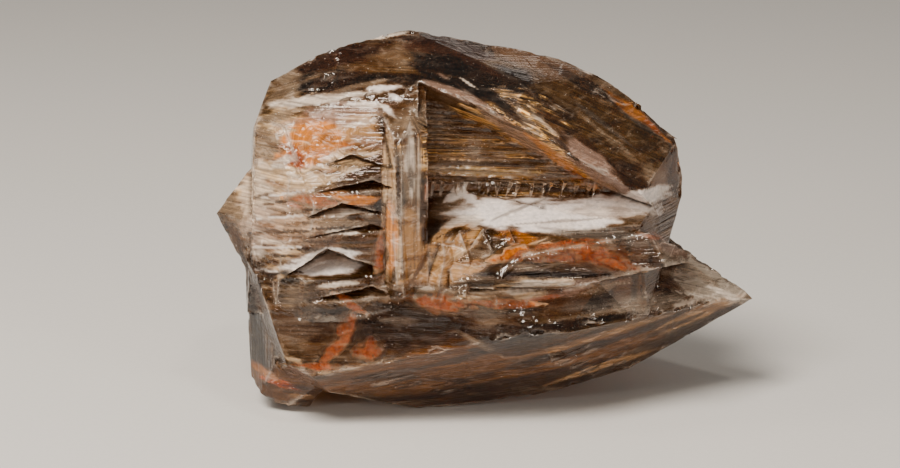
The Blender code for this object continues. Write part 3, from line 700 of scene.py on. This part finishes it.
def finish_values(points, normals, ridge, groove):
    """Tint, clearness and line strength at each point.

    The whole crystal starts smoky, in clouds of umber, olive and stone; then the patches of the
    front are laid over one another, the quartz over each film is cleared, ridges are worn pale,
    which also paints a highlight along them, and grooves are darkened as painted shade.
    """
    colours = {name: [np.array(srgb(code)) for code in row[:2]] for name, row in TINTS.items()}
    streak = smooth(0.0, 0.8, cloud(points * [0.3, 0.3, 1.5], 1.6, 6))
    mood = 0.5 + 0.5 * cloud(points * [0.6, 0.6, 1.4], 9.0, 7)
    pale = 0.6 * smooth(0.1, 0.8, cloud(points * [0.4, 0.4, 1.6], 3.0, 8))
    values = [
        np.tile(colours["umber"][0], (len(points), 1)),
        np.full(len(points), TINTS["umber"][2]),
        np.full(len(points), TINTS["umber"][3]),
    ]
    lay(values, (colours["olive"][0], *TINTS["olive"][2:]), mood)
    lay(values, (colours["stone"][0], *TINTS["stone"][2:]), pale)

    flat = front_view(points)
    front = seen_in_front(points, normals)
    for number, (name, *place, strength) in enumerate(PATCHES):
        share = patch(flat, *place, PATCH_SEED + number) * front * strength
        one, two = colours[name]
        lay(values, (one + (two - one) * streak[:, None], *TINTS[name][2:]), share)
    for number, (_, _, across, up, long, high, slope, _) in enumerate(FILMS):
        share = patch(flat, across, up, 1.3 * long, 1.4 * high, slope, PANE_SEED + number)
        lay(values, (colours["pane"][0], *TINTS["pane"][2:]), 0.8 * share * front)
    # ridges lightened: partly pale worn edges, partly a painted highlight along them
    edge_wear_and_highlight = smooth(0.3, 0.8, ridge * (0.6 + 0.9 * cloud(points, 2.6, 9)))
    lay(values, (colours["frost"][0], 0.5, 0.5), 0.6 * edge_wear_and_highlight)
    # grooves darkened: painted shade in the creases
    lay(values, (colours["dark"][0], 0.9, 0.5), 0.7 * groove)
    return values


def line_angles(middles, normals, front):
    """How steeply (radians) the growth lines climb on each triangle: they are level unless the
    face is one of SLANTED, or a long slanting patch lies over it."""
    angle = np.zeros(len(middles))
    for direction, slope in SLANTED:
        close = normals @ outward(*direction) > math.cos(math.radians(LINE_REACH))
        angle[close] = math.radians(slope)
    flat = front_view(middles)
    for _, across, up, long, high, slope, _ in PATCHES:
        if long < STREAK_SHAPE * high or abs(slope) < STREAK_SLOPE:
            continue
        along, over = turned(flat[:, 0] - across, flat[:, 1] - up, slope)
        within = (along / long) ** 2 + (over / high) ** 2 < 1
        angle[front & within] = math.radians(slope)
    return angle


def line_map(points, faces, normals):
    """Corner coordinates in mm, first along the growth lines and then across them; in the chamber
    the lines curl around its middle."""
    level = np.cross([0.0, 0.0, 1.0], normals)
    level /= np.maximum(np.linalg.norm(level, axis=1, keepdims=True), 1e-9)
    rise = np.cross(normals, level)
    middles = points[faces].mean(1)
    front = seen_in_front(middles, normals) > 0.5
    angle = line_angles(middles, normals, front)
    cos, sin = np.cos(angle)[:, None], np.sin(angle)[:, None]
    along, across = level * cos + rise * sin, rise * cos - level * sin
    corners = points[faces]
    lines = np.stack([np.einsum("fcj,fj->fc", corners, way) for way in (along, across)], axis=2)

    every = corners.reshape(-1, 3)
    across, up, long, high = CURL
    x, y = (front_view(every)[:, :2] - (across, up)).T.reshape(2, -1, 3)
    bearing = np.arctan2(y / high, x / long)
    bearing += 2 * np.pi * np.round((bearing[:, :1] - bearing) / (2 * np.pi))
    reach = np.hypot(x / long, y / high) + 0.4 * cloud(every, 2.6, 13).reshape(-1, 3)
    curled = front & (reach.mean(1) < 1)
    lines[curled] = np.stack([bearing * high, reach * high], axis=2)[curled]
    return lines


def relief(points, normals, clear, lined, ridge):
    """How far (mm) each point moves out.

    The flank gets low ledges, lined faces get waves along the lines, milky places a mosaic of
    small leaning planes, and ridges lose chips.  The flat underside stays, but for its chips.
    """
    # the flank lies left of x = -20, in front of y = -15, and from 24 to 54 mm high
    x, y, z = points.T
    flank = smooth(-18.5, -20, x) * smooth(-12, -15, y) * smooth(21, 24, z) * smooth(58, 54, z)
    steps = z / LEDGE_PITCH + 1.6 * cloud(points * [0.3, 1, 1], 4.0, 2)
    ledge = (0.45 - (steps - np.floor(steps))) * LEDGE_DEPTH * flank
    wave = 1.0 - 2.0 * np.abs(cloud(points * [0.22, 0.5, 1.0], 1.5, 3))
    broken = mosaic(points * [0.55, 0.55, 1.0], 1.7, 0.16, 11)
    coarse = mosaic(points * [0.7, 0.7, 1.0], 4.0, 0.05, 12)
    milky = smooth(0.8, 0.5, clear)
    uneven = 0.03 * lined * wave + milky * (0.11 * broken + 0.3 * coarse) + 0.2 * coarse
    chip = ridge * (0.06 + 0.32 * smooth(0.0, 0.8, cloud(points, 2.6, 5)))
    chip += ridge * 0.15 * smooth(0.1, 0.6, cloud(points, 1.1, 10))
    underside = normals[:, 2] <= -0.985
    return np.where(underside, 0.0, ledge + uneven) - chip


# ---------------------------------------------------------------- the pieces


def new_piece(name, points, faces, material):
    """A mesh object in metres from points in mm."""
    data = bpy.data.meshes.new(name)
    data.from_pydata((points * MM).tolist(), [], faces.tolist())
    data.materials.append(material)
    piece = bpy.data.objects.new(name, data)
    bpy.context.scene.collection.objects.link(piece)
    return piece


def store(piece, name, values):
    """Keeps a number or a colour for each point of the piece, for its material to read."""
    kind, key = ("FLOAT_COLOR", "color") if values.ndim == 2 else ("FLOAT", "value")
    piece.data.attributes.new(name, kind, "POINT").data.foreach_set(key, values.reshape(-1))


def crystal(material):
    """The whole crystal: an even net over its solid, moved by the relief, and tinted."""
    points, faces, edge = crystal_net()
    normals = point_normals(points, faces)
    ridge = spread(smooth(*RIDGE, edge), faces)
    groove = spread(smooth(*GROOVE, -edge), faces)
    tint, clear, lined = finish_values(points, normals, ridge, groove)
    moved = points + normals * relief(points, normals, clear, lined, ridge)[:, None]
    low, high = np.array(cad_box) / MM
    piece = new_piece("crystal", np.clip(moved, low, high), faces, material)
    store(piece, "tint", tint)
    store(piece, "clear", clear)
    store(piece, "lined", lined)
    mapping = line_map(points, faces, face_normals(points, faces)[0])
    piece.data.uv_layers.new(name="lines").data.foreach_set("uv", mapping.reshape(-1))
    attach(piece, "root")
    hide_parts("elestial_quartz")


def film_outline(number, long, high, slope, out):
    """Where a film's points lie around its middle, across and up the front: rings in a slanting
    lens whose outline is bent by noise; out is each ring's share of the way to the outline."""
    around = np.linspace(0, 2 * np.pi, FILM_SPOKES, endpoint=False)
    circle = np.stack([np.cos(around), np.sin(around), np.full(FILM_SPOKES, 3.0 * number)], axis=1)
    seed = FILM_SEED + number
    bend = 0.3 * cloud(circle, 0.6, seed) + 0.12 * cloud(circle, 0.25, seed + 100)
    reach = (1.15 + bend) / lens(circle[:, 0], circle[:, 1], 1.6)
    along, over = circle[:, 0] * reach * long, circle[:, 1] * reach * high
    return turned(np.outer(out, along), np.outer(out, over), -slope)


def film_triangles():
    """Triangles of a closed lens: an upper and a lower net of rings and spokes, each around a
    middle point that is numbered last, which share the outermost ring."""
    ring, spoke = np.meshgrid(np.arange(FILM_RINGS - 1), np.arange(FILM_SPOKES), indexing="ij")
    a = ring * FILM_SPOKES + spoke
    b = ring * FILM_SPOKES + (spoke + 1) % FILM_SPOKES
    quads = np.stack([a, a + FILM_SPOKES, b + FILM_SPOKES, b], axis=2).reshape(-1, 4)
    middle = FILM_RINGS * FILM_SPOKES
    first = np.arange(FILM_SPOKES)
    fan = np.stack([np.full(FILM_SPOKES, middle), first, (first + 1) % FILM_SPOKES], axis=1)
    top = np.concatenate([quads[:, [0, 1, 2]], quads[:, [0, 2, 3]], fan])
    shared = (top >= middle - FILM_SPOKES) & (top < middle)
    bottom = np.where(shared, top, top + middle + 1)[:, ::-1]
    return np.concatenate([top, bottom])


def iron_film(number, material, face, across, up, long, high, slope, depth):
    """A thin closed lens under one of the crystal's faces: its outline is drawn on the front, and
    its points follow the line of sight to the face and then go straight in by the depth and a
    soft wave."""
    rings = np.linspace(0, 1, FILM_RINGS + 1)[1:]
    x, height = film_outline(number, long, high, slope, rings)
    x, height = np.append(across + x, across), np.append(up + height, up)
    direction, start = FACES[face]
    normal = outward(*direction)
    level, lean = MIDDLE_HEIGHT + height / math.cos(TILT), math.tan(TILT)
    y = (normal @ start - normal[0] * x - normal[2] * level) / (normal[1] - normal[2] * lean)
    middle = np.stack([x, y, level - y * lean], axis=1)
    middle -= normal * (depth + 0.5 * cloud(middle, 2.0, FILM_SEED + 200 + number))[:, None]

    out = np.append(np.repeat(rings, FILM_SPOKES), 0.0)
    half = FILM_HALF * (1 - out**2)[:, None] * normal
    points = np.concatenate([middle + half, middle - half])
    used, faces = np.unique(film_triangles(), return_inverse=True)
    piece = new_piece(f"iron_film_{number + 1}", points[used], faces.reshape(-1, 3), material)
    store(piece, "rim", np.tile(out, 2)[used])
    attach(piece, "root")


# ---------------------------------------------------------------- materials


def add(tree, kind, settings=None, inputs=None):
    """Adds a node with its settings; an input takes a value, or a link from a node's output."""
    node = tree.nodes.new(kind)
    for key, value in (settings or {}).items():
        setattr(node, key, value)
    for key, value in (inputs or {}).items():
        if isinstance(value, bpy.types.Node):
            value = value.outputs[0]
        if isinstance(value, bpy.types.NodeSocket):
            tree.links.new(value, node.inputs[key])
        else:
            node.inputs[key].default_value = value
    return node


def noise(tree, place, scale, detail, settings=None, **shape):
    """Noise at a place; with three scales it is stretched, one for each direction.  Its other
    inputs, such as Roughness, are given by their names."""
    if isinstance(scale, tuple):
        place = add(tree, "ShaderNodeMapping", inputs={"Vector": place, "Scale": scale})
        scale = 1.0
    inputs = {"Vector": place, "Scale": scale, "Detail": detail, **shape}
    return add(tree, "ShaderNodeTexNoise", settings, inputs)


def scaled(tree, value, factor, offset, clamp=False):
    """The value times the factor, plus the offset, each a number or a node's output; clamp keeps
    the result from 0 to 1."""
    settings = {"operation": "MULTIPLY_ADD", "use_clamp": clamp}
    return add(tree, "ShaderNodeMath", settings, {0: value, 1: factor, 2: offset})


def mixed(tree, share, one, two):
    """The first colour where the share is 0, and the second where it is 1."""
    mix = add(tree, "ShaderNodeMix", {"data_type": "RGBA"}, {0: share, 6: one, 7: two})
    return mix.outputs[2]


def stored(tree, name, output="Fac"):
    """What store keeps under this name."""
    return add(tree, "ShaderNodeAttribute", {"attribute_name": name}).outputs[output]


def new_material(name):
    """A material, its empty node tree, and the place in the object that its patterns read."""
    material = bpy.data.materials.new(name)
    material.use_nodes = True
    tree = material.node_tree
    tree.nodes.clear()
    return material, tree, add(tree, "ShaderNodeTexCoord").outputs["Object"]


def smoky_quartz():
    """Clear brown quartz that grew in parallel layers: glassy faces with fine growth lines,
    milky where tiny fractures crowd together, and orange where iron stained them."""
    material, tree, place = new_material("smoky_quartz")
    tint, clear, lined = stored(tree, "tint", "Color"), stored(tree, "clear"), stored(tree, "lined")
    along = add(tree, "ShaderNodeUVMap", {"uv_map": "lines"})
    # growth lines: 0.5 mm apart and some 25 mm long
    line = scaled(tree, noise(tree, along, (0.04, 2.0, 1.0), 3.0), 4.4, -2.2)
    line = scaled(tree, line, lined, 0.0)
    # broken bits and tiny fractures: 0.8 mm
    fleck = scaled(tree, noise(tree, place, 1200.0, 5.0, Roughness=0.65), 2.4, -1.2)
    # milky wisps: 4 mm long and 1 mm high, curled
    wisp = noise(tree, place, (260.0, 260.0, 900.0), 5.0, Distortion=1.2)
    wisp = scaled(tree, wisp, 5.0, -2.5, clamp=True)
    # fine cracks: dark wavy lines, some 4 mm long and 1 mm apart
    ridged = {"noise_type": "RIDGED_MULTIFRACTAL", "normalize": False}
    crack = noise(tree, place, (220.0, 220.0, 800.0), 3.0, ridged, Distortion=0.4)
    crack = scaled(tree, crack, 2.0, -1.6, clamp=True)
    # bright specks: bits of broken quartz, 0.3 mm
    speck = scaled(tree, noise(tree, place, 3400.0, 2.0), 14.0, -9.8, clamp=True)

    # wisps and cracks crowd where the quartz isn't clear
    cloudy = scaled(tree, clear, -0.5, 0.62)
    shade = scaled(tree, fleck, 0.6, 1.0)
    shade = scaled(tree, line, 0.55, shade)
    shade = scaled(tree, scaled(tree, crack, cloudy, 0.0), -0.9, shade)
    shade = add(tree, "ShaderNodeMath", {"operation": "MAXIMUM"}, {0: shade, 1: 0.12})
    toned = add(tree, "ShaderNodeVectorMath", {"operation": "SCALE"}, {0: tint, 3: shade})
    milk = scaled(tree, cloudy, wisp, speck)
    colour = mixed(tree, milk, toned, srgb("#EADACA"))
    through = scaled(tree, fleck, 0.15, clear)
    through = scaled(tree, line, -0.18, through)
    through = scaled(tree, milk, -0.7, through, clamp=True)
    height = scaled(tree, fleck, 0.03, line)
    bump = {"Strength": 0.5, "Distance": 0.12 * MM, "Height": height}
    shader = add(
        tree,
        "ShaderNodeBsdfPrincipled",
        inputs={
            "Base Color": colour,
            "Roughness": scaled(tree, through, -0.08, 0.11),
            "IOR": 1.544,
            "Transmission Weight": through,
            "Normal": add(tree, "ShaderNodeBump", inputs=bump),
        },
    )
    smoke = {"Color": srgb("#BF9C5D"), "Density": 62.0}
    absorption = add(tree, "ShaderNodeVolumeAbsorption", inputs=smoke)
    add(tree, "ShaderNodeOutputMaterial", inputs={"Surface": shader, "Volume": absorption})
    return material


def iron_stain(name, code, darker):
    """Iron oxide that settled in a crack as a thin powdery film: matt, in flecks of orange and
    red-brown, and so thin towards its rim that light passes through it."""
    material, tree, place = new_material(name)
    # grains: 1 mm patches with finer crumbs
    grain = noise(tree, place, 1000.0, 6.0, Roughness=0.7)
    grain = scaled(tree, grain, 3.2, -1.1, clamp=True)
    colour = mixed(tree, grain, srgb(darker), srgb(code))
    # the rim is torn: 2 mm
    torn = scaled(tree, noise(tree, place, 500.0, 6.0), 4.0, -3.2)
    thin = scaled(tree, stored(tree, "rim"), 2.3, torn, clamp=True)
    colour = mixed(tree, thin, colour, srgb("#F4D4AC"))
    shader = add(
        tree,
        "ShaderNodeBsdfPrincipled",
        inputs={"Base Color": colour, "Roughness": 0.6, "IOR": 1.0, "Transmission Weight": thin},
    )
    add(tree, "ShaderNodeOutputMaterial", inputs={"Surface": shader})
    return material


def plain_paper():
    """Pale smooth paper: matt, with a faint grain."""
    material, tree, place = new_material("plain_paper")
    colour = mixed(tree, noise(tree, place, 900.0, 3.0), srgb("#D8D5D1"), srgb("#DFDCD8"))
    matt = {"Base Color": colour, "Roughness": 0.85}
    shader = add(tree, "ShaderNodeBsdfPrincipled", inputs=matt)
    add(tree, "ShaderNodeOutputMaterial", inputs={"Surface": shader})
    return material


# ---------------------------------------------------------------- floor, lights and camera


def floor():
    """A flat floor, 4 m wide, that the crystal rests on."""
    half = 2000.0
    corners = half * np.array([[-1, -1, 0], [1, -1, 0], [1, 1, 0], [-1, 1, 0]])
    new_piece("floor", corners, np.array([[0, 1, 2, 3]]), plain_paper())


def softbox(name, turn, lift, distance, width, height, power):
    """A flat soft light that faces the crystal's middle from this bearing and angle."""
    light = bpy.data.lights.new(name, "AREA")
    light.shape = "RECTANGLE"
    light.size, light.size_y = width * MM, height * MM
    light.energy = power
    light.color = srgb("#FFF6EA")[:3]
    lamp = bpy.data.objects.new(name, light)
    away = Vector(outward(turn, lift))
    lamp.location = (Vector(LIT_MIDDLE) + away * distance) * MM
    lamp.rotation_euler = away.to_track_quat("Z", "Y").to_euler()
    bpy.context.scene.collection.objects.link(lamp)


def lighting():
    """A plain soft studio: one large softbox above, to the left and in front, which does most of
    the work; weak ones at the left and low on both sides of the camera, that fill the front; a
    small one high on the right for glints; two very weak ones, one behind the crystal and one
    beside the camera, that only put a sheen on single faces; and a dim pale surround."""
    for light in LIGHTS:
        softbox(*light)
    world = bpy.data.worlds.new("studio")
    world.use_nodes = True
    surround = world.node_tree.nodes["Background"].inputs
    surround["Color"].default_value = srgb("#E4DFD8")
    surround["Strength"].default_value = 0.22
    bpy.context.scene.world = world


def camera():
    """The camera: a little above the level, straight at the crystal's front."""
    data = bpy.data.cameras.new("camera")
    data.sensor_width, data.lens = 36.0, 120.4
    data.clip_start, data.clip_end = 0.01, 20.0
    eye = bpy.data.objects.new("camera", data)
    back = Vector(VIEW)
    eye.location = (Vector(VIEW_MIDDLE) + back * VIEW_DISTANCE) * MM
    eye.rotation_euler = back.to_track_quat("Z", "Y").to_euler()
    bpy.context.scene.collection.objects.link(eye)
    bpy.context.scene.camera = eye


crystal(smoky_quartz())
stains = {
    "rust": iron_stain("iron_stain_rust", "#EE9450", "#B85A24"),
    "amber": iron_stain("iron_stain_amber", "#DC7C1E", "#8E4210"),
}
for number, (tint, *film) in enumerate(FILMS):
    iron_film(number, stains[tint], *film)
floor()
lighting()
camera()
